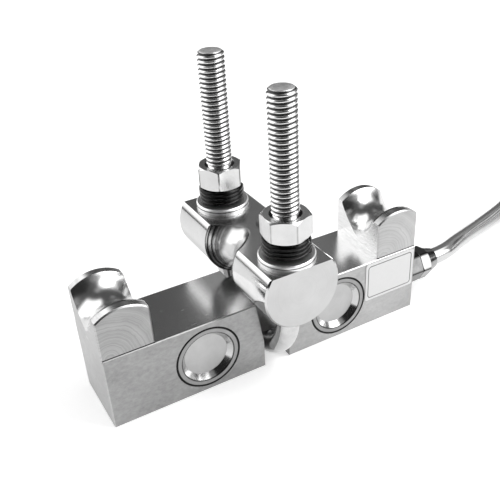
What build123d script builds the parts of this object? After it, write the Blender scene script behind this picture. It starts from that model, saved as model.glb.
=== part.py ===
"""Wire-rope load cell of the clamp-on kind, in millimetres.

A steel beam lies along X with a grooved saddle standing on each end.  A press bar
lies across its middle and a U-bolt that passes under the beam pulls the bar down, so
that a rope laid over the two saddles and under the bar bends the beam.  Strain gauges
in four capped pockets feel that bending, and a cable leaves through a gland.

Origin: the middle of the beam's underside.  X along the beam, Z up.
"""

import os
from math import cos, degrees, pi, radians, sin, sqrt, tan

from build123d import *

# Beam
beam_length = 164.0
beam_width = 35.0
beam_height = 36.5
beam_edge_break = 0.4

# Saddles: each is a segment of a grooved wheel whose axis is across the beam
saddle_length = 23.6
saddle_set_back = 0.5
saddle_rim_radius = 18.8
saddle_axis_above_beam = 3.9
saddle_groove_depth = 6.2
saddle_edge_break = 0.6
saddle_corner_radius = 1.2

# Rope groove: the same cutter forms the saddles and the neck of the press bar
groove_section_radius = 15.0

# Middle slot that the U-bolt sits in
slot_width = 13.6
slot_mouth_width = 20.4
slot_flare_start = 15.0
slot_web_thickness = 20.0
slot_bend_clearance = 0.3

# Gauge pockets and their caps
pocket_spacing = 70.4
pocket_radius = 14.0
pocket_web_thickness = 8.0
cap_radius = 15.8
cap_fit = 0.05
cap_flange_thickness = 1.2
cap_rim_radius = 12.8
cap_floor_radius = 10.4
cap_floor_depth = 2.8
cap_wall = 0.8
cap_groove_width = 0.5
cap_groove_depth = 0.3

# Wire passages
channel_radius = 2.0
cross_hole_radius = 2.0
cross_hole_drop = 9.0

# Press bar
bar_radius = 18.2
bar_length = 83.2
bar_flat_height = 10.1
bar_neck_depth = 7.2
bar_end_break = 0.7
bar_flat_break = 0.5
bar_hole_clearance = 0.5

# U-bolt
stud_spacing = 58.4
stud_diameter = 12.0
stud_height = 138.0
stud_chamfer = 1.3
shank_diameter = 10.8
thread_lead = 0.3
bend_ground_clearance = 0.5

# Fasteners on each stud
flat_washer_diameter = 24.8
flat_washer_thickness = 2.5
washer_bore_clearance = 0.5
washer_edge_break = 0.5
spring_washer_diameter = 21.2
spring_washer_thickness = 3.6
spring_washer_free_height = 8.4
spring_washer_gap_angle = 14.0
spring_washer_clearance = 0.2
nut_across_flats = 19.0
nut_height = 10.0
nut_bore_clearance = 0.1
nut_chamfer_angle = 30.0
front_nut_turn = 24.0
rear_nut_turn = 0.0
front_spring_turn = -40.0
rear_spring_turn = -20.0

# Rating plate
plate_length = 29.5
plate_height = 21.0
plate_thickness = 0.4
plate_corner_radius = 1.2
plate_from_end = 1.2
plate_below_top = 0.9

# Cable gland in the end face
gland_offset = -7.2
gland_height = 17.0
gland_across_flats = 15.0
gland_seal_thickness = 1.5
gland_seal_diameter = 14.0
gland_body_length = 7.5
gland_spigot_diameter = 10.0
gland_spigot_length = 9.0
gland_sleeve_diameter = 12.2
gland_sleeve_length = 6.0
gland_nut_gap = 0.4
gland_nut_hex_length = 5.4
gland_nut_cone_length = 5.8
gland_nut_mouth_diameter = 11.2
gland_grommet_diameter = 11.0
gland_grommet_length = 4.5
gland_edge_break = 0.8
gland_fit = 0.1

# Cable
cable_diameter = 9.0
cable_fit = 0.15
wire_bundle_diameter = 3.2
wire_link_diameter = 2.2

# Route of the cable from the gland to its coil, chosen by hand
cable_route = (
    (102.6, -7.2, 17.0),
    (111.8, -7.2, 17.0),
    (127.0, -0.6, 15.2),
    (144.0, 7.6, 11.2),
    (163.0, 15.8, 7.2),
    (184.4, 23.1, 5.5),
    (200.37, 28.91, 5.5),
)

# Coil of the spare cable: turns side by side in columns, laid in layers
coil_mean_radius = 57.5
coil_columns = 3
coil_layers = 3
coil_top_columns = 2
coil_centre = (260.7, -19.9)
coil_arm_length = 40.0
coil_arm_angle = 110.0
tie_width = 5.0
tie_thickness = 1.0
tie_angles = (20.0, 200.0)
tie_fit = 0.2

# Bare end of the cable: a shrunk sleeve and the cores lying on the coil
sleeve_diameter = 10.4
sleeve_angle = 26.0
sleeve_start_angle = 150.0
core_diameter = 1.9
core_angles = (48.0, 60.0, 55.0, 64.0, 52.0)

# Strain gauges and terminal board
gauge_length = 11.0
gauge_width = 8.0
gauge_backing = 0.25
gauge_grid_length = 5.0
gauge_grid_width = 2.6
gauge_grid_thickness = 0.15
board_length = 15.0
board_height = 6.0
board_thickness = 1.2
board_rise = 7.8
board_pad_diameter = 1.8
board_pad_height = 0.4
board_pads = 5

# Derived places
half_length = beam_length / 2
half_width = beam_width / 2
half_saddle = saddle_length / 2
saddle_place = half_length - half_saddle
saddle_axis_height = beam_height + saddle_axis_above_beam
saddle_root_radius = saddle_rim_radius - saddle_groove_depth
saddle_end_height = saddle_axis_height + sqrt(saddle_rim_radius**2 - half_saddle**2)
pocket_height = beam_height / 2
pocket_place = pocket_spacing / 2
bar_axis_height = beam_height + bar_radius
bar_top = bar_axis_height + bar_flat_height
bar_neck_radius = bar_radius - bar_neck_depth
stud_place = stud_spacing / 2
shank_radius = shank_diameter / 2
stud_radius = stud_diameter / 2
bend_height = bend_ground_clearance + shank_radius + stud_place
spring_washer_base = bar_top + flat_washer_thickness
nut_base = spring_washer_base + spring_washer_free_height
thread_start = nut_base + nut_height
spigot_end = half_length - gland_spigot_length
body_start = half_length + gland_seal_thickness
body_end = body_start + gland_body_length
nut_start = body_end + gland_nut_gap
nut_hex_end = nut_start + gland_nut_hex_length
gland_end = nut_hex_end + gland_nut_cone_length
cable_radius = cable_diameter / 2
coil_inner_radius = coil_mean_radius - coil_columns * cable_radius
coil_outer_radius = coil_mean_radius + coil_columns * cable_radius
coil_base = tie_thickness
coil_step_height = coil_base + (coil_layers - 1) * cable_diameter
coil_top = coil_base + coil_layers * cable_diameter
coil_step_radius = coil_outer_radius - coil_top_columns * cable_diameter
coil_run_radius = coil_outer_radius - cable_radius
coil_run_height = coil_base + cable_radius

gland_axis = Axis((0, gland_offset, gland_height), (1, 0, 0))
gland_section = Plane(origin=(0, gland_offset, gland_height), x_dir=(1, 0, 0), z_dir=(0, -1, 0))
coil_section = Plane(origin=(*coil_centre, 0), x_dir=(1, 0, 0), z_dir=(0, -1, 0))
coil_axis = Axis((*coil_centre, 0), (0, 0, 1))

os.makedirs("parts", exist_ok=True)


def write(part, name):
    """Labels a finished piece and writes it as one STEP file."""
    part.label = name
    export_step(part, f"parts/{name}.step")


def across_plane(x, z):
    """Section plane for what turns about an axis across the beam: local X runs along Y."""
    return Plane(origin=(x, 0, z), x_dir=(0, 1, 0), z_dir=(1, 0, 0))


def upright_axis(x, y):
    """An upright axis."""
    return Axis((x, y, 0), (0, 0, 1))


def make_rope_groove(x, z, root_radius):
    """The ring that cuts the rope groove round an axis across the beam."""
    with BuildPart() as ring:
        with BuildSketch(across_plane(x, z)):
            with Locations((0, root_radius + groove_section_radius)):
                Circle(groove_section_radius)
        revolve(axis=Axis((x, 0, z), (0, 1, 0)))
    return ring.part


def make_saddle(x):
    """One saddle: the top of a grooved wheel with its ends cut square, sunk a little in the beam."""
    ring = make_rope_groove(x, saddle_axis_height, saddle_root_radius)
    foot = beam_height - 2 * beam_edge_break
    crest = saddle_axis_height + saddle_rim_radius
    with BuildPart() as saddle:
        with BuildSketch(Plane.XZ) as outline:
            with BuildLine():
                Line((x - half_saddle, foot), (x - half_saddle, saddle_end_height))
                ThreePointArc(
                    (x - half_saddle, saddle_end_height), (x, crest), (x + half_saddle, saddle_end_height)
                )
                Line((x + half_saddle, saddle_end_height), (x + half_saddle, foot))
                Line((x + half_saddle, foot), (x - half_saddle, foot))
            make_face()
            fillet(outline.vertices().group_by(Axis.Y)[-1], saddle_corner_radius)
        extrude(amount=half_width - saddle_set_back, both=True)
        sides = saddle.faces().filter_by(Axis.Y).edges()
        chamfer(sides.sort_by(Axis.Z)[2:], saddle_edge_break)
    with BuildPart() as cutter:
        with Locations((x, 0, beam_height + saddle_rim_radius)):
            Box(saddle_length + 2, beam_width, 2 * saddle_rim_radius)
        add(ring, mode=Mode.INTERSECT)
    return saddle.part - cutter.part


def make_slot():
    """What the middle slot takes away: three sides of the beam round a standing web."""
    web_radius = stud_place - shank_radius - slot_bend_clearance
    with BuildPart() as web:
        with BuildSketch(Plane.YZ) as section:
            with Locations((0, bend_height)):
                Circle(web_radius)
            with Locations((0, beam_height)):
                Rectangle(slot_web_thickness, 2 * beam_height, mode=Mode.INTERSECT)
        extrude(amount=slot_mouth_width, both=True)
    with BuildPart() as slot:
        with BuildSketch(Plane.XZ):
            with BuildLine():
                Polyline(
                    (-slot_width / 2, -1),
                    (-slot_width / 2, slot_flare_start),
                    (-slot_mouth_width / 2, beam_height),
                    (slot_mouth_width / 2, beam_height),
                    (slot_width / 2, slot_flare_start),
                    (slot_width / 2, -1),
                    close=True,
                )
            make_face()
        extrude(amount=beam_width, both=True)
        add(web.part, mode=Mode.SUBTRACT)
    return slot.part


def make_beam():
    """The one-piece beam with its saddles, gauge pockets, middle slot and wire passages."""
    saddles = [make_saddle(side * saddle_place) for side in (-1, 1)]
    slot = make_slot()
    pocket_depth = half_width - pocket_web_thickness / 2
    spigot_bore = gland_spigot_diameter / 2 + gland_fit
    with BuildPart() as beam:
        with Locations((0, 0, beam_height / 2)):
            Box(beam_length, beam_width, beam_height)
        chamfer(beam.edges(), beam_edge_break)
        add(saddles)
        add(slot, mode=Mode.SUBTRACT)
        for side in (-1, 1):
            for x in (-pocket_place, pocket_place):
                face = Plane(origin=(x, side * half_width, pocket_height), z_dir=(0, side, 0))
                with BuildSketch(face):
                    Circle(cap_radius)
                extrude(amount=-cap_flange_thickness, mode=Mode.SUBTRACT)
                with BuildSketch(face):
                    Circle(pocket_radius)
                extrude(amount=-pocket_depth, mode=Mode.SUBTRACT)
        for x in (-pocket_place, pocket_place):
            with Locations(Location((x, 0, pocket_height - cross_hole_drop), (90, 0, 0))):
                Cylinder(cross_hole_radius, 2 * pocket_web_thickness, mode=Mode.SUBTRACT)
        channel_length = half_length + pocket_place
        with Locations(Location((half_length, gland_offset, gland_height), (0, 90, 0))):
            Hole(channel_radius, depth=channel_length)
            Hole(spigot_bore, depth=gland_spigot_length)
    return beam.part


def make_cap(x, side):
    """A turned cap that closes a gauge pocket: a flat rim round a sunken floor."""
    face = side * half_width
    rim = cap_radius - cap_fit

    def at(radius, depth):
        return (radius, face - side * depth)

    with BuildPart() as cap:
        with BuildSketch(Plane(origin=(x, 0, pocket_height))) as section:
            with BuildLine():
                Polyline(
                    at(0, cap_floor_depth),
                    at(cap_floor_radius, cap_floor_depth),
                    at(cap_rim_radius, 0),
                    at(rim - cap_groove_width, 0),
                    at(rim, cap_groove_depth),
                    at(rim, cap_flange_thickness),
                    at(cap_rim_radius + cap_wall, cap_flange_thickness),
                    at(cap_floor_radius + cap_wall, cap_floor_depth + cap_wall),
                    at(0, cap_floor_depth + cap_wall),
                    close=True,
                )
            make_face()
        revolve(axis=Axis((x, 0, pocket_height), (0, 1, 0)))
    return cap.part


def make_press_bar():
    """The bar that presses on the rope: a round bar with a flat, a grooved neck and two holes."""
    groove = make_rope_groove(0, bar_axis_height, bar_neck_radius)
    with BuildPart() as bar:
        with BuildSketch(Plane.XZ):
            with Locations((0, bar_axis_height)):
                Circle(bar_radius)
        extrude(amount=bar_length / 2, both=True)
        chamfer(bar.edges().filter_by(GeomType.CIRCLE), bar_end_break)
        cut_height = bar_radius - bar_flat_height
        with Locations((0, 0, bar_top + cut_height)):
            Box(2 * bar_radius, bar_length, 2 * cut_height, mode=Mode.SUBTRACT)
        flat = bar.faces().sort_by(Axis.Z)[-1]
        chamfer(flat.edges().filter_by(Axis.Y), bar_flat_break)
        add(groove, mode=Mode.SUBTRACT)
        with Locations((0, -stud_place, bar_top), (0, stud_place, bar_top)):
            Hole(stud_radius + bar_hole_clearance, depth=2 * bar_radius)
    return bar.part


def make_u_bolt():
    """The U-bolt: a bent rod of pitch diameter, with the free threads above the nuts at full diameter."""
    with BuildPart() as bolt:
        with BuildLine(Plane.YZ) as bend:
            Line((-stud_place, thread_start), (-stud_place, bend_height))
            ThreePointArc(
                (-stud_place, bend_height), (0, bend_height - stud_place), (stud_place, bend_height)
            )
            Line((stud_place, bend_height), (stud_place, thread_start))
        with BuildSketch(Plane(origin=(0, -stud_place, thread_start), z_dir=(0, 0, -1))):
            Circle(shank_radius)
        sweep(path=bend.wire())
        for side in (-1, 1):
            with BuildSketch(Plane.XY.offset(thread_start)):
                with Locations((0, side * stud_place)):
                    Circle(stud_radius)
            extrude(amount=stud_height - thread_start)
        rims = bolt.edges().filter_by(GeomType.CIRCLE)
        chamfer(rims.group_by(Axis.Z)[-1], stud_chamfer)
        foot = [e for e in rims if abs(e.center().Z - thread_start) < 0.01 and e.radius > shank_radius]
        chamfer(foot, thread_lead)
    return bolt.part


def make_flat_washer(side):
    """A flat washer on the bar's flat."""
    with BuildPart() as washer:
        with BuildSketch(Plane.XY.offset(bar_top)):
            with Locations((0, side * stud_place)):
                Circle(flat_washer_diameter / 2)
                Circle(stud_radius + washer_bore_clearance, mode=Mode.SUBTRACT)
        extrude(amount=flat_washer_thickness)
        rim = washer.edges().filter_by(GeomType.CIRCLE).group_by(SortBy.RADIUS)[-1]
        chamfer(rim.sort_by(Axis.Z)[-1], washer_edge_break)
    return washer.part


def make_spring_washer(side, turn):
    """A split spring washer in its free state: one turn of a flat coil."""
    inner = stud_radius + spring_washer_clearance
    outer = spring_washer_diameter / 2
    rise = spring_washer_free_height - spring_washer_thickness
    share = 1 - spring_washer_gap_angle / 360
    middle = (inner + outer) / 2
    with BuildPart() as washer:
        with BuildLine() as path:
            Helix(pitch=rise / share, height=rise, radius=middle)
        with BuildSketch(Plane(origin=path.line @ 0, x_dir=(1, 0, 0), z_dir=(0, 1, 0))):
            Rectangle(outer - inner, spring_washer_thickness)
        sweep(path=path.line, is_frenet=True)
    place = Location((0, side * stud_place, spring_washer_base + spring_washer_thickness / 2), (0, 0, turn))
    return washer.part.moved(place)


def make_nut(side, turn):
    """A hexagon nut, chamfered on both faces; its bore is the pitch diameter, where the threads meet."""
    point_radius = nut_across_flats / 2 / cos(pi / 6)
    bore_radius = shank_radius + nut_bore_clearance
    fall = (point_radius - nut_across_flats / 2) * tan(radians(nut_chamfer_angle))
    with BuildPart() as nut:
        with BuildSketch(Plane.XY.offset(nut_base)):
            with Locations((0, side * stud_place)):
                RegularPolygon(point_radius, 6, rotation=turn)
        extrude(amount=nut_height)
        with BuildSketch(Plane(origin=(0, side * stud_place, nut_base), x_dir=(1, 0, 0), z_dir=(0, -1, 0))):
            with BuildLine():
                Polyline(
                    (0, 0),
                    (nut_across_flats / 2, 0),
                    (point_radius, fall),
                    (point_radius, nut_height - fall),
                    (nut_across_flats / 2, nut_height),
                    (0, nut_height),
                    close=True,
                )
            make_face()
        revolve(axis=upright_axis(0, side * stud_place), mode=Mode.INTERSECT)
        with Locations((0, side * stud_place, nut_base + nut_height)):
            CounterSinkHole(bore_radius, stud_radius + 1, depth=nut_height, counter_sink_angle=120)
    return nut.part


def make_rating_plate():
    """The thin plate on the beam's front face, left blank."""
    x = half_length - plate_from_end - plate_length / 2
    z = beam_height - plate_below_top - plate_height / 2
    with BuildPart() as plate:
        with BuildSketch(Plane.XZ.offset(half_width)):
            with Locations((x, z)):
                RectangleRounded(plate_length, plate_height, plate_corner_radius)
        extrude(amount=plate_thickness)
    return plate.part


def make_gland_seal():
    """The flat seal between the gland's body and the beam's end face."""
    with BuildPart() as seal:
        with BuildSketch(Plane(gland_section.origin + Vector(half_length, 0, 0), z_dir=(1, 0, 0))):
            Circle(gland_seal_diameter / 2)
            Circle(gland_spigot_diameter / 2 + gland_fit, mode=Mode.SUBTRACT)
        extrude(amount=gland_seal_thickness)
    return seal.part


def gland_plane(x):
    """A plane across the gland's axis."""
    return Plane(origin=(x, gland_offset, gland_height), x_dir=(0, 1, 0), z_dir=(1, 0, 0))


def make_gland_body():
    """The gland's body: a hexagon with a spigot into the beam and a sleeve for the nut."""
    point_radius = gland_across_flats / 2 / cos(pi / 6)
    with BuildPart() as body:
        with BuildSketch(gland_plane(body_start)):
            RegularPolygon(point_radius, 6)
        extrude(amount=gland_body_length)
        with BuildSketch(gland_section):
            with BuildLine():
                Polyline(
                    (body_start, 0),
                    (body_start, point_radius - gland_edge_break),
                    (body_start + gland_edge_break / 2, point_radius),
                    (body_end - gland_edge_break / 2, point_radius),
                    (body_end, point_radius - gland_edge_break),
                    (body_end, 0),
                    close=True,
                )
            make_face()
        revolve(axis=gland_axis, mode=Mode.INTERSECT)
        with BuildSketch(gland_plane(body_start)):
            Circle(gland_spigot_diameter / 2)
        extrude(amount=-(gland_seal_thickness + gland_spigot_length - gland_fit))
        with BuildSketch(gland_plane(body_end)):
            Circle(gland_sleeve_diameter / 2)
        extrude(amount=gland_sleeve_length)
        with BuildSketch(gland_plane(spigot_end)):
            Circle(wire_bundle_diameter / 2 + cable_fit)
        extrude(amount=body_end - spigot_end, mode=Mode.SUBTRACT)
        with BuildSketch(gland_plane(body_end)):
            Circle(cable_radius + cable_fit)
        extrude(amount=gland_sleeve_length, mode=Mode.SUBTRACT)
        with BuildSketch(gland_plane(nut_start + gland_sleeve_length)):
            Circle(gland_grommet_diameter / 2 + gland_fit)
        extrude(amount=-gland_grommet_length, mode=Mode.SUBTRACT)
    return body.part


def make_gland_grommet():
    """The rubber ring that the nut squeezes round the cable."""
    with BuildPart() as grommet:
        with BuildSketch(gland_plane(nut_start + gland_sleeve_length)):
            Circle(gland_grommet_diameter / 2)
            Circle(cable_radius + gland_fit, mode=Mode.SUBTRACT)
        extrude(amount=-gland_grommet_length)
        rim = grommet.edges().filter_by(GeomType.CIRCLE).group_by(SortBy.RADIUS)[-1]
        chamfer(rim.sort_by(Axis.X)[0], gland_fit * 5)
    return grommet.part


def make_gland_nut():
    """The gland's compression nut: a hexagon that tapers to the cable."""
    point_radius = gland_across_flats / 2 / cos(pi / 6)
    mouth = gland_nut_mouth_diameter / 2
    bore = gland_sleeve_diameter / 2 + gland_fit
    shoulder = nut_start + gland_sleeve_length
    with BuildPart() as nut:
        with BuildSketch(gland_plane(nut_start)):
            RegularPolygon(point_radius, 6)
        extrude(amount=gland_end - nut_start)
        with BuildSketch(gland_section):
            with BuildLine():
                Polyline(
                    (nut_start, bore),
                    (nut_start, point_radius - gland_edge_break),
                    (nut_start + gland_edge_break / 2, point_radius),
                    (nut_hex_end - gland_edge_break, point_radius),
                    (nut_hex_end, gland_across_flats / 2),
                    (gland_end, mouth),
                    (gland_end, cable_radius + cable_fit),
                    (shoulder, cable_radius + cable_fit),
                    (shoulder, bore),
                    close=True,
                )
            make_face()
        revolve(axis=gland_axis, mode=Mode.INTERSECT)
    return nut.part


def make_gauge(x, side):
    """A strain gauge on a pocket's web: a film with two grids at right angles."""
    web = side * pocket_web_thickness / 2
    with BuildPart() as gauge:
        with BuildSketch(Plane(origin=(x, web, pocket_height), x_dir=(1, 0, 0), z_dir=(0, side, 0))):
            RectangleRounded(gauge_length, gauge_width, gauge_width / 8)
        extrude(amount=gauge_backing)
        top = web + side * gauge_backing
        with BuildSketch(Plane(origin=(x, top, pocket_height), x_dir=(1, 0, 0), z_dir=(0, side, 0))):
            for lean in (-1, 1):
                with Locations(Location((lean * gauge_length / 4, 0), lean * 45)):
                    Rectangle(gauge_grid_width, gauge_grid_length)
        extrude(amount=gauge_grid_thickness)
    return gauge.part


def make_board():
    """The small terminal board in the pocket next to the gland."""
    web = -pocket_web_thickness / 2
    front = web - board_thickness
    place = (pocket_place, web, pocket_height + board_rise)
    with BuildPart() as board:
        with BuildSketch(Plane(origin=place, x_dir=(1, 0, 0), z_dir=(0, -1, 0))):
            Rectangle(board_length, board_height)
        extrude(amount=board_thickness)
        with BuildSketch(Plane(origin=(place[0], front, place[2]), x_dir=(1, 0, 0), z_dir=(0, -1, 0))):
            with GridLocations(board_length / board_pads, 0, board_pads, 1):
                Circle(board_pad_diameter / 2)
        extrude(amount=board_pad_height)
    return board.part


def make_inner_lead():
    """The cable's cores inside the beam, from the gland to the terminal board."""
    radius = wire_bundle_diameter / 2
    board_front = -pocket_web_thickness / 2 - board_thickness - board_pad_height
    y = min(gland_offset, board_front - radius)
    corner = (pocket_place + pocket_radius / 2, gland_offset, gland_height)
    end = (pocket_place + board_length / 4, y, pocket_height + board_rise)
    with BuildPart() as lead:
        with BuildLine() as path:
            FilletPolyline((spigot_end, gland_offset, gland_height), corner, end, radius=2 * radius)
        with BuildSketch(Plane(origin=path.wire() @ 0, z_dir=path.wire() % 0)):
            Circle(radius)
        sweep(path=path.wire())
    return lead.part


def make_link_lead():
    """The thin lead that lies in the channel between the two front pockets."""
    radius = wire_link_diameter / 2
    z = gland_height - channel_radius + radius
    reach = pocket_place + pocket_radius / 6
    with BuildPart() as lead:
        with BuildSketch(Plane(origin=(-reach, gland_offset, z), z_dir=(1, 0, 0))):
            Circle(radius)
        extrude(amount=2 * pocket_place)
    return lead.part


def make_cable_stub():
    """The end of the cable inside the gland: its jacket stops there and its cores run on."""
    with BuildPart() as stub:
        with BuildSketch(gland_plane(body_end)):
            Circle(cable_radius)
        extrude(amount=gland_end - body_end)
        with BuildSketch(gland_plane(spigot_end)):
            Circle(wire_bundle_diameter / 2)
        extrude(amount=body_end - spigot_end)
    return stub.part


def bend_radii(points):
    """The radius of each bend of a route: as large as its two runs allow."""
    radii = []
    for before, here, after in zip(points, points[1:], points[2:]):
        run_in = Vector(*here) - Vector(*before)
        run_out = Vector(*after) - Vector(*here)
        turn = radians(run_in.get_angle(run_out))
        radii.append(0.45 * min(run_in.length, run_out.length) / tan(turn / 2))
    return radii


def make_cable():
    """The cable from the gland to its coil."""
    radii = bend_radii(cable_route)
    print("cable bend radii", [round(radius, 1) for radius in radii])
    with BuildPart() as cable:
        with BuildLine() as path:
            FilletPolyline(*cable_route, radius=radii)
        with BuildSketch(Plane(origin=path.wire() @ 0, z_dir=path.wire() % 0)):
            Circle(cable_radius)
        sweep(path=path.wire())
    print("cable length", round(path.wire().length, 1), "volume ratio",
          round(cable.part.volume / (path.wire().length * pi * cable_radius**2), 4))
    return cable.part


def make_cable_coil():
    """The outer shape of the coiled cable, with the straight run that leads into it."""
    along = radians(coil_arm_angle)
    start = Vector(
        coil_centre[0] + coil_run_radius * cos(along),
        coil_centre[1] + coil_run_radius * sin(along),
        coil_run_height,
    )
    with BuildPart() as coil:
        with BuildSketch(coil_section):
            with BuildLine():
                Polyline(
                    (coil_inner_radius, coil_base),
                    (coil_outer_radius, coil_base),
                    (coil_outer_radius, coil_top),
                    (coil_step_radius, coil_top),
                    (coil_step_radius, coil_step_height),
                    (coil_inner_radius, coil_step_height),
                    close=True,
                )
            make_face()
        revolve(axis=coil_axis)
        with BuildSketch(Plane(origin=start, z_dir=(-sin(along), cos(along), 0))):
            Circle(cable_radius)
        extrude(amount=coil_arm_length)
    return coil.part


def make_coil_tie(angle):
    """A strap round all the turns of the coil."""
    arc = degrees(tie_width / coil_mean_radius)
    with BuildPart() as tie:
        with BuildSketch(coil_section):
            with BuildLine():
                Polyline(
                    (coil_inner_radius, coil_base),
                    (coil_outer_radius, coil_base),
                    (coil_outer_radius, coil_top),
                    (coil_step_radius, coil_top),
                    (coil_inner_radius, coil_step_height),
                    close=True,
                )
            inner = make_face()
            offset(amount=tie_thickness, kind=Kind.ARC)
            add(inner, mode=Mode.SUBTRACT)
        revolve(axis=coil_axis, revolution_arc=arc)
    return tie.part.rotate(coil_axis, angle)


def make_coil_ring_part(radius, height, size, start, arc):
    """A round piece that lies along the coil's turns."""
    with BuildPart() as piece:
        with BuildSketch(coil_section):
            with Locations((radius, height)):
                Circle(size / 2)
        revolve(axis=coil_axis, revolution_arc=arc)
    return piece.part.rotate(coil_axis, start)


for piece_name, piece in (
    ("beam", make_beam()),
    ("press_bar", make_press_bar()),
    ("u_bolt", make_u_bolt()),
    ("rating_plate", make_rating_plate()),
    ("gland_seal", make_gland_seal()),
    ("gland_body", make_gland_body()),
    ("gland_grommet", make_gland_grommet()),
    ("gland_nut", make_gland_nut()),
    ("terminal_board", make_board()),
    ("inner_lead", make_inner_lead()),
    ("link_lead", make_link_lead()),
    ("cable_stub", make_cable_stub()),
    ("cable", make_cable()),
    ("cable_coil", make_cable_coil()),
):
    write(piece, piece_name)
for end, side in (("front", -1), ("rear", 1)):
    write(make_flat_washer(side), f"{end}_flat_washer")
    for half, x in (("left", -pocket_place), ("right", pocket_place)):
        write(make_cap(x, side), f"{end}_{half}_cap")
        write(make_gauge(x, side), f"{end}_{half}_gauge")
write(make_spring_washer(-1, front_spring_turn), "front_spring_washer")
write(make_spring_washer(1, rear_spring_turn), "rear_spring_washer")
write(make_nut(-1, front_nut_turn), "front_nut")
write(make_nut(1, rear_nut_turn), "rear_nut")
write(Compound(children=[make_coil_tie(angle) for angle in tie_angles]), "coil_ties")

sleeve_radius = sleeve_diameter / 2
sleeve_place = coil_step_radius - sleeve_radius - tie_fit / 2
sleeve = make_coil_ring_part(
    sleeve_place, coil_step_height + sleeve_radius, sleeve_diameter, sleeve_start_angle, sleeve_angle
)
write(sleeve, "cable_sleeve")
cores = []
for number, arc in enumerate(core_angles):
    row, column = divmod(number, 3)
    spread = (column - 1 + row / 2) * core_diameter * 1.1
    rise = core_diameter * (0.5 + 0.87 * row)
    cores.append(
        make_coil_ring_part(
            sleeve_place + spread,
            coil_step_height + rise,
            core_diameter,
            sleeve_start_angle - arc,
            arc,
        )
    )
write(Compound(children=cores), "core_wires")
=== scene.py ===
"""Looks of the wire-rope load cell: camera, light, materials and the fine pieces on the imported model."""

import math
from typing import NamedTuple

import bmesh
import bpy
from mathutils import Matrix, Vector


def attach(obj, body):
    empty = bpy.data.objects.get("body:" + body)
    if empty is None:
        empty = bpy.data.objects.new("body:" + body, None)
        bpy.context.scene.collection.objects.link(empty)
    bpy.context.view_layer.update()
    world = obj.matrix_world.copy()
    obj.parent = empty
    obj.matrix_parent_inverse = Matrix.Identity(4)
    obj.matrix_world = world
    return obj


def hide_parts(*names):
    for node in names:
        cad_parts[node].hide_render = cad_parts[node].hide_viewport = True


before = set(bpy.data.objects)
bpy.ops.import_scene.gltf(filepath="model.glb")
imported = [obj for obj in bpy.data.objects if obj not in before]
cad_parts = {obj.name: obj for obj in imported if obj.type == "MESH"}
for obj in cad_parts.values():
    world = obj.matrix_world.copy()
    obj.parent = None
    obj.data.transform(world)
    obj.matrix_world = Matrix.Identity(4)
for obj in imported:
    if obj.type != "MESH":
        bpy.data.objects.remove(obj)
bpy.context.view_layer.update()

MM = 0.001

# Camera, as the photograph was taken
camera_place = Vector((-132.5, -251.4, 225.5)) * MM
camera_forward = Vector((0.41815, 0.72985, -0.54081))
camera_right = Vector((0.85612, -0.51567, -0.03397))
focal_in_image_widths = 1.4499
optical_centre_across = 0.5533
optical_centre_up = 0.4636
sensor_width = 36.0

# Beam and its saddles
beam_height = 36.5 * MM
half_width = 17.5 * MM
saddle_place = 70.2 * MM
saddle_axis_height = 40.4 * MM
saddle_root_radius = 12.6 * MM
saddle_inner_end = 58.4 * MM
groove_section_radius = 15.0 * MM
slot_half_width = 12.0 * MM
swirl_inward_shift = 8.0 * MM
swirl_wander = 6.0 * MM
# Height of the painted shade line at the foot of each saddle's set-back front
saddle_seam_shade_height = 0.5 * MM
# Painted light on the front faces: darker at the first of these places, lighter at the second
front_painted_shade_end = -40.0 * MM
front_painted_light_end = 70.0 * MM
pocket_place = 35.2 * MM
pocket_height = 18.25 * MM
cap_radius = 15.8 * MM
cap_rim_radius = 12.8 * MM
cap_floor_radius = 10.4 * MM
cap_floor_depth = 2.8 * MM
# Width of the dark joint round the cap's edge, widened with painted shade of the gap
cap_seam_shade_width = 1.15 * MM
gauge_film_face = 4.27 * MM
gauge_grid_face = 4.3 * MM

# Press bar
bar_axis_height = 54.7 * MM
bar_neck_radius = 11.0 * MM
bar_top = 64.8 * MM
# How far below the axis the painted shade on the bar's underside reaches
bar_underside_shade_drop = 8.0 * MM
neck_shade_start = 6.0 * MM
neck_shade_end = 11.0 * MM

# U-bolt
stud_place = 29.2 * MM
stud_radius = 6.0 * MM
shank_radius = 5.4 * MM
stud_top = 138.0 * MM
thread_start = 85.7 * MM
bend_height = 35.1 * MM
thread_pitch = 2.05 * MM
thread_depth = 0.95 * MM
thread_root_share = 0.1
thread_flank_share = 0.68
stud_chamfer = 1.3 * MM
stud_chamfer_slope = 1.2
shank_top = thread_start + 0.5 * MM

# Flat washers and nuts
# Height of the painted shade line round the flat washers' sides
flat_washer_shade_height = 66.0 * MM
nut_bore_shade_radius = 6.9 * MM
nut_corner_shade_radius = 10.1 * MM
front_nut_turn = math.radians(24)

# Spring washers: a section, by radius and share of a turn's thickness, wound into three stacked turns
spring_washer_base = 67.3 * MM
spring_washer_height = 8.4 * MM
spring_washer_turns = 2.96
spring_washer_gap = 0.12
spring_washer_section = (
    (6.2 * MM, 0.0),
    (9.8 * MM, 0.0),
    (10.5 * MM, 0.2),
    (10.6 * MM, 0.5),
    (10.5 * MM, 0.8),
    (9.8 * MM, 1.0),
    (6.2 * MM, 1.0),
)
front_washer_start = math.radians(-40)
rear_washer_start = math.radians(-20)

# Gland
gland_offset = -7.2 * MM
gland_height = 17.0 * MM
gland_corner_shade_radius = 8.0 * MM

# Rating plate
plate_centre = Vector((66.05, -17.9, 25.1)) * MM
plate_size = Vector((29.5, 0.4, 21.0)) * MM
plate_border_inset = 1.5 * MM
plate_border_radius = 1.6 * MM

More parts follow.
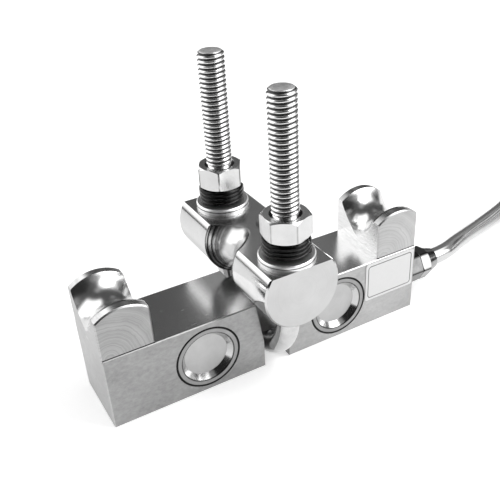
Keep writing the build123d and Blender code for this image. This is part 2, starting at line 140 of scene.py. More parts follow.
# Cable: the route from the gland, then a coil of turns in columns and layers.
# A turn changes its column and its layer towards its end, at these shares of the turn.
cable_diameter = 9.0 * MM
cable_route = [
    Vector((102.6, -7.2, 17.0)) * MM,
    Vector((111.8, -7.2, 17.0)) * MM,
    Vector((127.0, -0.6, 15.2)) * MM,
    Vector((144.0, 7.6, 11.2)) * MM,
    Vector((163.0, 15.8, 7.2)) * MM,
    Vector((184.4, 23.1, 5.5)) * MM,
    Vector((200.37, 28.91, 5.5)) * MM,
]
coil_centre = Vector((260.7, -19.9, 0.0)) * MM
coil_columns = [66.5 * MM, 57.5 * MM, 48.5 * MM]
coil_layers = [5.5 * MM, 14.5 * MM, 23.5 * MM]
coil_start_angle = math.radians(110)
points_per_turn = 18
whole_turns = 7
last_turn_share = 0.83
column_change_start = 0.81
layer_change_start = 0.66
last_column_change_start = 0.62
last_layer_change_start = 0.55
change_share = 0.15

# Bare end of the cable; the cores' arcs are in degrees, their tuck and settling in radians
sleeve_radial_place = 47.7 * MM
sleeve_height = 24.2 * MM
sleeve_end_angle = math.radians(150)
core_diameter = 1.9 * MM
core_floor = 19.0 * MM
core_arcs = [48.0, 60.0, 55.0, 64.0, 52.0]
core_tuck = 0.03
core_settling = 0.35
core_wander = 0.9 * MM
core_tip_radius = 0.45 * MM
core_tip_tuck = 1.0 * MM
core_tip_length = 2.0 * MM
core_colours = [
    (0.45, 0.02, 0.02),
    (0.02, 0.02, 0.02),
    (0.02, 0.22, 0.05),
    (0.75, 0.75, 0.74),
    (0.03, 0.08, 0.4),
]

# Floor: its glow is the share of its white that does not depend on the lamps, as seen and as mirrored
floor_half_size = 0.9
floor_drop = 0.2 * MM
floor_tone = 0.8
floor_glow_seen = 0.5
floor_glow_mirrored = 0.32

# Lamps, in metres and watts
lamp_aim = (0.0, 0.0, 0.04)
key_lamp = {"place": (0.52, -0.3, 1.0), "size": 0.5, "power": 4.0}
fill_lamp = {"place": (0.7, -0.5, 0.6), "size": 0.6, "power": 2.0}


class Panel(NamedTuple):
    """A panel of the studio: limits round the object and above the horizon, soft edge and brightness."""

    left: float
    right: float
    bottom: float
    top: float
    edge: float
    level: float


# Studio, in degrees: what metal mirrors past the floor, a later panel in front of an earlier one.
# studio_dark is the level between the panels, and plain_level lights all that doesn't mirror.
studio_dark = 0.08
plain_level = 0.72
studio_panels = {
    "rear_left_wall": Panel(95, 170, -20, 54, edge=7, level=1.8),
    "rear_left_gap": Panel(112, 140, -10, 1, edge=3, level=0.04),
    "front_right_softbox": Panel(-62, 12, 36, 78, edge=8, level=1.6),
    "front_right_wall": Panel(-74, -24, 7, 40, edge=5, level=3.0),
    "right_screen": Panel(-24, 32, 10, 34, edge=8, level=0.25),
    "right_low_light": Panel(-18, 30, -8, 9, edge=2, level=1.3),
    "right_gap": Panel(-4, 16, 12, 24, edge=2, level=0.02),
    "rear_right_screen": Panel(54, 66, 27, 40, edge=6, level=0.3),
    "left_screen": Panel(-178, -150, -10, 34, edge=8, level=0.35),
    "front_left_flag": Panel(-152, -98, -4, 60, edge=5, level=0.015),
    "front_screen": Panel(-92, -66, 44, 60, edge=8, level=0.3),
    "ceiling": Panel(-190, 190, 82, 98, edge=4, level=0.4),
}


# Node helpers


class Nodes:
    """Short calls for the nodes of one tree."""

    def __init__(self, tree):
        self.tree = tree

    def wire(self, value, socket):
        """Links a node's output to a socket, or writes a plain value there."""
        if isinstance(value, bpy.types.NodeSocket):
            self.tree.links.new(value, socket)
        elif isinstance(value, tuple) and len(value) == 3 and len(socket.default_value) == 4:
            socket.default_value = (*value, 1.0)
        else:
            socket.default_value = value

    def node(self, kind, *values):
        """Adds a node, fills its first sockets and returns its first output."""
        node = self.tree.nodes.new(kind)
        for value, socket in zip(values, node.inputs):
            self.wire(value, socket)
        return node.outputs[0]

    def math(self, operation, *values):
        """A sum, product or function of numbers."""
        node = self.tree.nodes.new("ShaderNodeMath")
        node.operation = operation
        for value, socket in zip(values, node.inputs):
            self.wire(value, socket)
        return node.outputs[0]

    def split(self, vector):
        """The three components of a vector."""
        node = self.tree.nodes.new("ShaderNodeSeparateXYZ")
        self.wire(vector, node.inputs[0])
        return node.outputs

    def noise(self, vector, scale, detail=2.0, roughness=0.5):
        """Soft random marks, from 0 to 1."""
        node = self.tree.nodes.new("ShaderNodeTexNoise")
        self.wire(vector, node.inputs["Vector"])
        node.inputs["Scale"].default_value = scale
        node.inputs["Detail"].default_value = detail
        node.inputs["Roughness"].default_value = roughness
        return node.outputs["Fac"]

    def between(self, value, low, high, out_low=0.0, out_high=1.0):
        """Maps a range of values to another, with a smooth, clamped step."""
        node = self.tree.nodes.new("ShaderNodeMapRange")
        node.interpolation_type = "SMOOTHSTEP"
        if low > high:
            low, high, out_low, out_high = high, low, out_high, out_low
        for number, socket in zip((value, low, high, out_low, out_high), node.inputs):
            self.wire(number, socket)
        return node.outputs["Result"]

    def window(self, value, low, high, edge):
        """1 between two limits, with soft edges."""
        above_low = self.between(value, low - edge, low + edge)
        below_high = self.between(value, high + edge, high - edge)
        return self.all_of(above_low, below_high)

    def all_of(self, *masks):
        """1 where every mask is 1."""
        product = masks[0]
        for mask in masks[1:]:
            product = self.math("MULTIPLY", product, mask)
        return product

    def mix(self, share, first, second):
        """Mixes two numbers."""
        node = self.tree.nodes.new("ShaderNodeMix")
        self.wire(share, node.inputs[0])
        self.wire(first, node.inputs[2])
        self.wire(second, node.inputs[3])
        return node.outputs[0]

    def mix_colour(self, share, first, second):
        """Mixes two colours."""
        node = self.tree.nodes.new("ShaderNodeMix")
        node.data_type = "RGBA"
        self.wire(share, node.inputs[0])
        self.wire(first, node.inputs[6])
        self.wire(second, node.inputs[7])
        return node.outputs[2]

    def grey(self, value):
        """A grey colour from a number."""
        return self.node("ShaderNodeCombineColor", value, value, value)

    def distance(self, *offsets):
        """Length of a vector given by its components."""
        total = self.math("MULTIPLY", offsets[0], offsets[0])
        for offset in offsets[1:]:
            total = self.math("MULTIPLY_ADD", offset, offset, total)
        return self.math("SQRT", total)


class Shader(Nodes):
    """A new material with its main shader and its object coordinates."""

    def __init__(self, name):
        self.material = bpy.data.materials.new(name)
        self.material.use_nodes = True
        super().__init__(self.material.node_tree)
        self.bsdf = self.tree.nodes["Principled BSDF"]
        self.place = self.tree.nodes.new("ShaderNodeTexCoord").outputs["Object"]
        self.surface = self.tree.nodes.new("ShaderNodeNewGeometry").outputs["Normal"]

    def set(self, **values):
        """Sets sockets of the main shader; underscores stand for spaces."""
        for name, value in values.items():
            self.wire(value, self.bsdf.inputs[name.replace("_", " ")])

    def join(self, x, y, z):
        """A vector from its components."""
        return self.node("ShaderNodeCombineXYZ", x, y, z)

    def normal(self):
        """The three components of the shading's direction."""
        return self.split(self.surface)

    def scaled(self, x, y, z):
        """Object coordinates stretched along the axes."""
        node = self.tree.nodes.new("ShaderNodeMapping")
        self.wire(self.place, node.inputs["Vector"])
        node.inputs["Scale"].default_value = (x, y, z)
        return node.outputs[0]

    def bump(self, height, strength, distance):
        """Raises the surface by a mask, on top of the steered shading."""
        node = self.tree.nodes.new("ShaderNodeBump")
        node.inputs["Strength"].default_value = strength
        node.inputs["Distance"].default_value = distance
        self.wire(height, node.inputs["Height"])
        self.wire(self.surface, node.inputs["Normal"])
        self.wire(node.outputs[0], self.bsdf.inputs["Normal"])

    def steer(self, mask, x, y, z):
        """Turns the shading to this direction where the mask is 1, so that a curve mirrors smoothly."""
        node = self.tree.nodes.new("ShaderNodeVectorTransform")
        node.vector_type = "NORMAL"
        node.convert_from = "OBJECT"
        node.convert_to = "WORLD"
        self.wire(self.join(x, y, z), node.inputs[0])
        mixer = self.tree.nodes.new("ShaderNodeMix")
        mixer.data_type = "VECTOR"
        self.wire(mask, mixer.inputs[0])
        self.wire(self.surface, mixer.inputs[4])
        self.wire(node.outputs[0], mixer.inputs[5])
        self.surface = mixer.outputs[1]


# Metals


def rope_groove(shader, x, y, z, root_radius, limit):
    """1 on a rope groove, whose shading it smooths; x and z start at the axis that it is turned about."""
    turned = shader.distance(x, z)
    from_middle = shader.math("SUBTRACT", turned, root_radius + groove_section_radius)
    section = shader.distance(from_middle, y)
    off = shader.math("ABSOLUTE", shader.math("SUBTRACT", section, groove_section_radius))
    mask = shader.math("MULTIPLY", shader.between(off, 0.8 * MM, 0.5 * MM), limit)
    inward = shader.math("DIVIDE", from_middle, shader.math("MULTIPLY", turned, -groove_section_radius))
    along = shader.math("MULTIPLY", y, -1 / groove_section_radius)
    shader.steer(mask, shader.math("MULTIPLY", x, inward), along, shader.math("MULTIPLY", z, inward))
    return mask


def beam_steel():
    """Steel milled on its sides, polished on top and in the grooves, with painted light along its fronts,
    painted shade on the walls of its slot and a painted shade line at the foot of each saddle.
    """
    s = Shader("beam_steel")
    x, y, z = s.split(s.place)
    nx, ny, nz = s.normal()
    end_sign = s.math("SIGN", x)
    from_middle = s.math("ABSOLUTE", x)
    from_saddle = s.math("SUBTRACT", x, s.math("MULTIPLY", end_sign, saddle_place))
    above = s.between(z, beam_height + 1 * MM, beam_height + 2 * MM)
    height = s.math("SUBTRACT", z, saddle_axis_height)
    groove = rope_groove(s, from_saddle, y, height, saddle_root_radius, above)
    top = s.between(nz, 0.9, 0.97)
    polished = s.math("MAXIMUM", groove, top)
    side = s.math("SUBTRACT", 1.0, polished)
    front = s.between(s.math("ABSOLUTE", ny), 0.8, 0.95)
    milled = s.noise(s.scaled(420, 420, 760), 1.0, 5.0, 0.7)
    cloud = s.noise(s.place, 45.0, 4.0, 0.6)
    ground = s.noise(s.scaled(60, 1500, 60), 1.0, 3.0, 0.6)
    ring = s.distance(s.math("ADD", from_saddle, swirl_inward_shift), s.math("SUBTRACT", z, beam_height))
    wander = s.math("MULTIPLY_ADD", cloud, swirl_wander, ring)
    swirl_place = s.join(s.math("MULTIPLY", wander, 1500.0), s.math("MULTIPLY", y, 90.0), 0.0)
    swirl = s.noise(swirl_place, 1.0, 4.0, 0.75)
    on_saddle = s.between(z, beam_height, beam_height + 0.5 * MM)
    lines = s.mix(on_saddle, milled, swirl)
    worked = s.mix(on_saddle, s.math("MULTIPLY", lines, 0.26), s.math("MULTIPLY_ADD", lines, 0.55, -0.15))
    tone = s.math("ADD", worked, s.math("MULTIPLY", cloud, 0.24))
    facing_in = s.between(s.math("MULTIPLY", nx, end_sign), -0.8, -0.95)
    # Painted shade: the walls of the slot are darkened nearly black
    in_slot = s.all_of(facing_in, s.between(from_middle, slot_half_width, slot_half_width - 1 * MM))
    ends = s.mix(in_slot, s.mix(facing_in, 0.28, 0.56), 0.05)
    # Painted light: the front faces are painted darker towards -x and lighter towards +x
    fronts = s.between(x, front_painted_shade_end, front_painted_light_end, 0.11, 0.23)
    fronts = s.math("ADD", fronts, s.math("MULTIPLY", on_saddle, 0.04))
    tone = s.math("ADD", tone, s.mix(front, ends, fronts))
    # Painted shade: a dark line along the foot of each saddle's set-back front face
    seam_shade = s.all_of(
        s.between(z, beam_height + saddle_seam_shade_height, beam_height + 0.6 * saddle_seam_shade_height),
        s.between(z, beam_height - 0.1 * MM, beam_height),
        s.between(s.math("ABSOLUTE", y), half_width - 0.8 * MM, half_width - 0.6 * MM),
        s.between(from_middle, saddle_inner_end, saddle_inner_end + 0.1 * MM),
    )
    s.set(Metallic=1.0, Base_Color=s.grey(s.mix(seam_shade, s.mix(polished, tone, 0.72), 0.04)))
    side_rough = s.math("MULTIPLY_ADD", cloud, 0.2, s.mix(in_slot, s.mix(facing_in, 0.26, 0.1), 0.3))
    top_rough = s.mix(groove, s.math("MULTIPLY_ADD", ground, 0.16, 0.16), 0.21)
    s.set(Roughness=s.mix(polished, side_rough, top_rough))
    fine = s.math("MULTIPLY", s.math("MULTIPLY", ground, top), 0.3)
    s.bump(s.math("ADD", s.math("MULTIPLY", lines, side), fine), 0.4, 0.06 * MM)
    return s.material


def bar_steel():
    """Turned bar: satin ends, a fine ground flat, painted shade on its underside and a polished neck."""
    s = Shader("bar_steel")
    x, y, z = s.split(s.place)
    nx, ny, nz = s.normal()
    height = s.math("SUBTRACT", z, bar_axis_height)
    groove = rope_groove(s, x, y, height, bar_neck_radius, 1.0)
    end = s.between(s.math("ABSOLUTE", ny), 0.9, 0.97)
    flat = s.all_of(s.between(nz, 0.97, 0.995), s.between(z, bar_top - 0.2 * MM, bar_top - 0.1 * MM))
    cloud = s.noise(s.place, 60.0, 4.0, 0.6)
    ring = s.distance(x, height)
    turned = s.noise(s.join(s.math("MULTIPLY", ring, 1600.0), 0.0, 0.0), 1.0, 2.0, 0.6)
    along = s.noise(s.join(0.0, s.math("MULTIPLY", y, 1400.0), 0.0), 1.0, 2.0, 0.6)
    edge = s.between(s.math("ABSOLUTE", y), neck_shade_start, neck_shade_end)
    dark_lines = s.all_of(groove, edge, s.between(along, 0.42, 0.56))
    lines = s.mix(end, along, turned)
    tone = s.math("ADD", s.math("MULTIPLY", lines, 0.08), s.math("MULTIPLY", cloud, 0.2))
    # Painted shade: the underside below the axis, off the neck, is made darker
    low = s.between(z, bar_axis_height, bar_axis_height - bar_underside_shade_drop)
    off_neck = s.math("SUBTRACT", 1.0, groove)
    side = s.mix(s.all_of(low, off_neck), 0.54, 0.16)
    tone = s.math("ADD", tone, s.mix(end, s.mix(flat, side, 0.5), 0.47))
    s.set(Metallic=1.0, Base_Color=s.grey(s.mix(dark_lines, tone, 0.06)))
    rough = s.mix(end, s.mix(flat, 0.12, 0.26), s.math("MULTIPLY_ADD", cloud, 0.2, 0.3))
    s.set(Roughness=s.mix(groove, rough, 0.24))
    s.bump(s.math("MULTIPLY", lines, off_neck), 0.12, 0.03 * MM)
    return s.material


def cap_steel():
    """Turned caps: fine rings round their own middle, a bright sloping wall, a dark joint at the edge
    widened with painted shade, and a painted shade line at the top of the wall.
    """
    s = Shader("cap_steel")
    x, y, z = s.split(s.place)
    across = s.math("SUBTRACT", x, s.math("MULTIPLY", s.math("SIGN", x), pocket_place))
    height = s.math("SUBTRACT", z, pocket_height)
    ring = s.distance(across, height)
    wall = s.all_of(
        s.between(ring, cap_floor_radius, cap_floor_radius + 0.15 * MM),
        s.between(ring, cap_rim_radius, cap_rim_radius - 0.15 * MM),
    )
    lean = math.atan2(cap_floor_depth, cap_rim_radius - cap_floor_radius)
    inward = s.math("DIVIDE", -math.sin(lean), ring)
    outward = s.math("MULTIPLY", s.math("SIGN", y), math.cos(lean))
    s.steer(wall, s.math("MULTIPLY", across, inward), outward, s.math("MULTIPLY", height, inward))
    rings = s.noise(s.join(s.math("MULTIPLY", ring, 1500.0), 0.0, 0.0), 1.0, 2.0, 0.6)
    cloud = s.noise(s.place, 120.0, 3.0, 0.6)
    floor = s.between(ring, cap_floor_radius + 0.1 * MM, cap_floor_radius - 0.1 * MM)
    tone = s.math("MULTIPLY_ADD", cloud, 0.2, s.mix(wall, s.mix(floor, 0.26, 0.44), 0.55))
    # The dark joint round the cap's edge, widened with painted shade of the gap round it
    seam_shade_start = cap_radius - cap_seam_shade_width
    seam_shade = s.between(ring, seam_shade_start, seam_shade_start + 0.25 * MM)
    # Painted shade: a dark line where the face meets the sloping wall
    rim = s.between(s.math("ABSOLUTE", s.math("SUBTRACT", ring, cap_rim_radius)), 0.4 * MM, 0.1 * MM)
    tone = s.mix(rim, tone, 0.06)
    s.set(Metallic=1.0, Base_Color=s.grey(s.mix(seam_shade, tone, 0.02)))
    s.set(Roughness=s.mix(wall, s.math("MULTIPLY_ADD", cloud, 0.2, 0.26), 0.16))
    s.bump(rings, 0.12, 0.03 * MM)
    return s.material


def stud_steel():
    """Bright rolled thread, darkened nearly black deep in its grooves."""
    s = Shader("stud_steel")
    x, y, z = s.split(s.place)
    radius = s.distance(x, s.math("SUBTRACT", s.math("ABSOLUTE", y), stud_place))
    end = s.between(z, stud_top - 0.4 * MM, stud_top - 0.1 * MM)
    deep = s.all_of(
        s.between(radius, stud_radius - 0.3 * thread_depth, stud_radius - 0.8 * thread_depth),
        s.between(z, thread_start, thread_start + 1 * MM),
        s.math("SUBTRACT", 1.0, end),
    )
    cloud = s.noise(s.place, 260.0, 4.0, 0.65)
    threaded = s.between(z, thread_start - 1 * MM, thread_start)
    tone = s.math("MULTIPLY_ADD", cloud, 0.3, s.mix(threaded, 0.5, 0.66))
    s.set(Metallic=1.0, Base_Color=s.grey(s.mix(deep, tone, 0.06)))
    s.set(Roughness=s.mix(deep, s.math("MULTIPLY_ADD", cloud, 0.2, s.mix(end, 0.08, 0.4)), 0.4))
    s.bump(cloud, 0.1, 0.04 * MM)
    return s.material


def handling_marks(s):
    """Small upright marks from tools and hands."""
    return s.noise(s.scaled(1, 1, 0.3), 700.0, 3.0, 0.7)


def washer_shade_line(s):
    """1 along a thin line of painted shade round the side of a flat washer."""
    # Painted shade: a thin dark line round the washer's side
    off = s.math("ABSOLUTE", s.math("SUBTRACT", s.split(s.place)[2], flat_washer_shade_height))
    return s.between(off, 0.25 * MM, 0.15 * MM)


def hexagon_corners(s, first, second, turn, start_radius, width):
    """1 along the corners of a hexagon, given the two offsets from its axis."""
    angle = s.math("SUBTRACT", s.math("ARCTAN2", second, first), turn)
    radius = s.distance(first, second)
    aside = s.math("MULTIPLY", s.math("PINGPONG", angle, math.pi / 6), radius)
    outside = s.between(radius, start_radius, start_radius + 0.3 * MM)
    return s.all_of(s.between(aside, width, 0.1 * MM), outside)


def nut_shades(s):
    """1 where shade is painted: in a nut's countersink, and in patches along its corners, which show less
    on the front nut.
    """
    x, y, z = s.split(s.place)
    across = s.math("SUBTRACT", y, s.math("MULTIPLY", s.math("SIGN", y), stud_place))
    rim = nut_bore_shade_radius
    # Painted shade: a dark ring in the countersink round the stud
    bore = s.between(s.distance(x, across), rim + 0.2 * MM, rim - 0.2 * MM)
    turn = s.between(y, -1 * MM, 1 * MM, front_nut_turn, 0.0)
    corner = hexagon_corners(s, x, across, turn, nut_corner_shade_radius, 0.6 * MM)
    strength = s.between(y, -1 * MM, 1 * MM, 0.4, 1.0)
    # Painted shade along the corners, broken into patches by the handling marks
    painted_corner_shade = s.all_of(corner, s.between(handling_marks(s), 0.3, 0.55), strength)
    return s.math("MAXIMUM", bore, painted_corner_shade)


def gland_corners(s):
    """1 along the corners of the gland's two hexagons, where shade is painted."""
    x, y, z = s.split(s.place)
    across = s.math("SUBTRACT", y, gland_offset)
    height = s.math("SUBTRACT", z, gland_height)
    # Painted shade along the corners of both hexagons
    return hexagon_corners(s, across, height, 0.0, gland_corner_shade_radius, 1.2 * MM)


def plated_steel(name, tone, rough, shades=None, shade_tone=0.03):
    """Bright plated steel, lightly clouded and marked; shades gives a mask of painted shade, which is made
    nearly black.
    """
    s = Shader(name)
    cloud = s.noise(s.place, 150.0, 4.0, 0.65)
    marks = handling_marks(s)
    tone = s.math("MULTIPLY_ADD", cloud, 0.2, tone)
    if shades:
        # Painted shade: where the shades mask is 1 the tone drops to shade_tone
        tone = s.mix(shades(s), tone, shade_tone)
    s.set(Metallic=1.0, Base_Color=s.grey(tone))
    s.set(Roughness=s.math("MULTIPLY_ADD", marks, 0.2, rough))
    s.bump(marks, 0.2, 0.05 * MM)
    return s.material


def black_steel():
    """Oiled black oxide on the spring washers."""
    s = Shader("black_steel")
    grain = s.noise(s.place, 900.0, 3.0, 0.6)
    s.set(Metallic=1.0, Base_Color=s.grey(s.math("MULTIPLY_ADD", grain, 0.025, 0.006)))
    s.set(Roughness=s.math("MULTIPLY_ADD", grain, 0.15, 0.14))
    s.bump(grain, 0.1, 0.03 * MM)
    return s.material


# Films, plastics and rubber


def plate_film():
    """White film with a thin grey border line, left blank."""
    s = Shader("plate_film")
    x, y, z = s.split(s.place)
    flat_x = plate_size.x / 2 - plate_border_inset - plate_border_radius
    flat_z = plate_size.z / 2 - plate_border_inset - plate_border_radius
    dx = s.math("SUBTRACT", s.math("ABSOLUTE", s.math("SUBTRACT", x, plate_centre.x)), flat_x)
    dz = s.math("SUBTRACT", s.math("ABSOLUTE", s.math("SUBTRACT", z, plate_centre.z)), flat_z)
    outside = s.distance(s.math("MAXIMUM", dx, 0.0), s.math("MAXIMUM", dz, 0.0))
    inside = s.math("MINIMUM", s.math("MAXIMUM", dx, dz), 0.0)
    edge = s.math("SUBTRACT", s.math("ADD", outside, inside), plate_border_radius)
    line = s.between(s.math("ABSOLUTE", edge), 0.28 * MM, 0.16 * MM)
    mottle = s.noise(s.place, 500.0, 3.0, 0.6)
    film = s.grey(s.math("MULTIPLY_ADD", mottle, 0.05, 0.82))
    s.set(Base_Color=s.mix_colour(line, film, (0.1, 0.1, 0.1)), Roughness=0.35, Coat_Weight=0.3)
    s.bump(mottle, 0.03, 0.02 * MM)
    return s.material


def jacket():
    """Glossy silver-grey cable jacket."""
    s = Shader("cable_jacket")
    cloud = s.noise(s.place, 90.0, 3.0, 0.5)
    ripple = s.noise(s.place, 350.0, 2.0, 0.5)
    s.set(Metallic=0.85, Base_Color=s.grey(s.math("MULTIPLY_ADD", cloud, 0.1, 0.6)))
    s.set(Roughness=s.math("MULTIPLY_ADD", cloud, 0.04, 0.1), Coat_Weight=0.2)
    s.bump(ripple, 0.03, 0.03 * MM)
    return s.material


def plain_plastic(name, colour, rough):
    """Moulded plastic, rubber or varnish with a fine grain."""
    s = Shader(name)
    speck = s.noise(s.place, 700.0, 3.0, 0.6)
    darker = tuple(c * 0.8 for c in colour)
    s.set(Base_Color=s.mix_colour(speck, darker, colour))
    s.set(Roughness=s.math("MULTIPLY_ADD", speck, 0.12, rough))
    s.bump(speck, 0.08, 0.03 * MM)
    return s.material


def gauge_film():
    """Amber film of the strain gauges with bright metal grids raised on it."""
    s = Shader("gauge_film")
    x, y, z = s.split(s.place)
    speck = s.noise(s.place, 900.0, 2.0, 0.5)
    grid = s.between(s.math("ABSOLUTE", y), gauge_film_face, gauge_grid_face)
    s.set(Base_Color=s.mix_colour(grid, (0.62, 0.36, 0.1), (0.72, 0.66, 0.55)))
    s.set(Metallic=grid, Roughness=s.math("MULTIPLY_ADD", speck, 0.2, 0.25))
    return s.material


# Pieces


def mesh_piece(name, points, faces, material):
    """A smooth mesh object, with doubled points merged, that rides on the object."""
    mesh = bpy.data.meshes.new(name)
    mesh.from_pydata([tuple(p) for p in points], [], faces)
    shape = bmesh.new()
    shape.from_mesh(mesh)
    bmesh.ops.remove_doubles(shape, verts=shape.verts, dist=0.001 * MM)
    bmesh.ops.recalc_face_normals(shape, faces=shape.faces)
    shape.to_mesh(mesh)
    shape.free()
    mesh.polygons.foreach_set("use_smooth", [True] * len(mesh.polygons))
    mesh.materials.append(material)
    piece = bpy.data.objects.new(name, mesh)
    bpy.context.scene.collection.objects.link(piece)
    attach(piece, "root")
    return piece


def thread_radius(phase):
    """Radius of the thread over one pitch: a flat crest, two flanks and a narrow root."""
    from_root = abs(phase - 0.5) * 2
    rise = min(max((from_root - thread_root_share) / thread_flank_share, 0.0), 1.0)
    return stud_radius - thread_depth * (1 - rise)


def thread_mesh(y):
    """A stud with its helical thread and chamfered end; two spare turns let each column reach the top."""
    segments = 40
    steps = 8
    turns = math.ceil((stud_top - thread_start) / thread_pitch) + 2
    rows = turns * steps
    points = []
    for row in range(rows + 1):
        for column in range(segments):
            angle = 2 * math.pi * column / segments
            height = (row / steps + column / segments - 1) * thread_pitch
            z = min(max(thread_start + height, thread_start), stud_top)
            radius = thread_radius((row / steps) % 1.0)
            radius = min(radius, stud_radius - stud_chamfer + (stud_top - z) * stud_chamfer_slope)
            if z <= thread_start:
                radius = shank_radius
            radius = min(radius, shank_radius + (z - thread_start))
            points.append((radius * math.cos(angle), y + radius * math.sin(angle), z))
    faces = []
    for row in range(rows):
        for column in range(segments):
            here = row * segments + column
            if column < segments - 1:
                faces.append((here, here + 1, here + segments + 1, here + segments))
            elif row + steps < rows:
                first = (row + steps) * segments
                faces.append((here, first, first + segments, here + segments))
    for end_radius, height in ((stud_radius - stud_chamfer, stud_top), (shank_radius, thread_start)):
        start = len(points)
        for column in range(segments):
            angle = 2 * math.pi * column / segments
            points.append((end_radius * math.cos(angle), y + end_radius * math.sin(angle), height))
        points.append((0.0, y, height))
        for column in range(segments):
            faces.append((start + column, start + (column + 1) % segments, start + segments))
    return points, faces


def shank_mesh():
    """The rod of the U-bolt below its threads, swept round the bend."""
    steps = 48
    path = [(-stud_place, shank_top)]
    for step in range(steps + 1):
        angle = math.pi + math.pi * step / steps
        path.append((stud_place * math.cos(angle), bend_height + stud_place * math.sin(angle)))
    path.append((stud_place, shank_top))
    sides = 32
    points = []
    for index, (y, z) in enumerate(path):
        angle = math.pi * min(max(index - 1, 0), steps) / steps
        outward = (-math.cos(angle), -math.sin(angle))
        for side in range(sides):
            turn = 2 * math.pi * side / sides
            out = shank_radius * math.cos(turn)
            points.append((shank_radius * math.sin(turn), y + outward[0] * out, z + outward[1] * out))
    faces = []
    for ring in range(len(path) - 1):
        for side in range(sides):
            after = (side + 1) % sides
            first = ring * sides
            faces.append((first + side, first + after, first + sides + after, first + sides + side))
    last = (len(path) - 1) * sides
    faces.append(tuple(range(sides)))
    faces.append(tuple(range(last, last + sides)))
    return points, faces


def spring_washer_mesh(y, start_angle):
    """A black spring washer of thin flat turns, one resting on the other."""
    steps = 96
    thickness = spring_washer_height / (spring_washer_turns + spring_washer_gap)
    points = []
    for step in range(steps + 1):
        turn = spring_washer_turns * step / steps
        angle = start_angle + 2 * math.pi * turn
        low = spring_washer_base + thickness * spring_washer_gap * step / steps
        low += thickness * (turn - step / steps)
        low = min(max(low, spring_washer_base), spring_washer_base + spring_washer_height - thickness)
        for radius, height in spring_washer_section:
            height = low + height * thickness
            points.append((radius * math.cos(angle), y + radius * math.sin(angle), height))
    corners = len(spring_washer_section)
    faces = [tuple(reversed(range(corners))), tuple(steps * corners + corner for corner in range(corners))]
    for step in range(steps):
        for corner in range(corners):
            here = step * corners + corner
            after = step * corners + (corner + 1) % corners
            faces.append((here, after, after + corners, here + corners))
    return points, faces


def curve_piece(name, points, radius, material):
    """A round cord along one smooth spline."""
    curve = bpy.data.curves.new(name, "CURVE")
    curve.dimensions = "3D"
    curve.resolution_u = 6
    curve.bevel_depth = radius
    curve.bevel_resolution = 6
    curve.use_fill_caps = True
    spline = curve.splines.new("NURBS")
    spline.points.add(len(points) - 1)
    for point, place in zip(spline.points, points):
        point.co = (*place, 1.0)
    spline.order_u = 3
    spline.use_endpoint_u = True
    curve.materials.append(material)
    piece = bpy.data.objects.new(name, curve)
    bpy.context.scene.collection.objects.link(piece)
    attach(piece, "root")
    return piece


def smooth_step(value):
    """0 below 0, 1 above 1, and a smooth rise between."""
    value = min(max(value, 0.0), 1.0)
    return value * value * (3 - 2 * value)


def coil_point(angle, radius, height):
    """A control point that puts the spline on this radius."""
    pull_in = math.cos(math.pi / points_per_turn)
    around = coil_start_angle - angle
    reach = radius / pull_in
    return coil_centre + Vector((reach * math.cos(around), reach * math.sin(around), height))


def coil_points():
    """The turns of the coil, wound clockwise: in, out, then in again to the bare end."""
    columns = coil_columns + coil_columns[::-1] + coil_columns[:2]
    layers = [coil_layers[0]] * 3 + [coil_layers[1]] * 3 + [coil_layers[2]] * 2
    columns.append(sleeve_radial_place)
    layers.append(sleeve_height)
    turns = whole_turns + last_turn_share
    points = []
    for step in range(int(turns * points_per_turn) + 1):
        turn, share = divmod(step / points_per_turn, 1.0)
        turn = int(turn)
        column_start = column_change_start
        layer_start = layer_change_start
        if turn == whole_turns:
            column_start = last_column_change_start
            layer_start = last_layer_change_start
        inward = smooth_step((share - column_start) / change_share)
        climb = smooth_step((share - layer_start) / change_share)
        radius = columns[turn] + (columns[turn + 1] - columns[turn]) * inward
        height = layers[turn] + (layers[turn + 1] - layers[turn]) * climb
        points.append(coil_point(2 * math.pi * step / points_per_turn, radius, height))
    return points


def core_points(number):
    """One core from the sleeve's end down onto the coil and along it."""
    row, column = divmod(number, 3)
    spread = (column - 1 + row / 2) * core_diameter * 1.1
    rest = core_floor + core_diameter * (0.5 + 0.87 * row)
    arc = math.radians(core_arcs[number])
    points = []
    steps = 9
    for step in range(steps + 1):
        along = -core_tuck + (arc + core_tuck) * step / steps
        settle = smooth_step(along / core_settling)
        wander = core_wander * math.sin(9 * along + number * 1.7) * settle
        radius = sleeve_radial_place + spread * (0.55 + 0.45 * settle) + wander * 0.5
        height = sleeve_height + (rest - sleeve_height) * settle
        around = sleeve_end_angle - along
        points.append(coil_centre + Vector((radius * math.cos(around), radius * math.sin(around), height)))
    return points


def core_tip_points(route):
    """The bare tip of a core, from just inside the end of its insulation."""
    along = (route[-1] - route[-2]).normalized()
    return [route[-1] - along * core_tip_tuck, route[-1], route[-1] + along * core_tip_length]


# Light, floor and camera


def make_camera():
    """The camera of the photograph."""
    camera = bpy.data.cameras.new("camera")
    camera.sensor_fit = "HORIZONTAL"
    camera.sensor_width = sensor_width
    camera.lens = focal_in_image_widths * sensor_width
    camera.shift_x = 0.5 - optical_centre_across
    camera.shift_y = 0.5 - optical_centre_up
    camera.clip_start = 0.01
    camera.clip_end = 20.0
    up = camera_right.cross(camera_forward)
    place = Matrix((camera_right, up, -camera_forward)).transposed().to_4x4()
    place.translation = camera_place
    holder = bpy.data.objects.new("camera", camera)
    holder.matrix_world = place
    bpy.context.scene.collection.objects.link(holder)
    bpy.context.scene.camera = holder


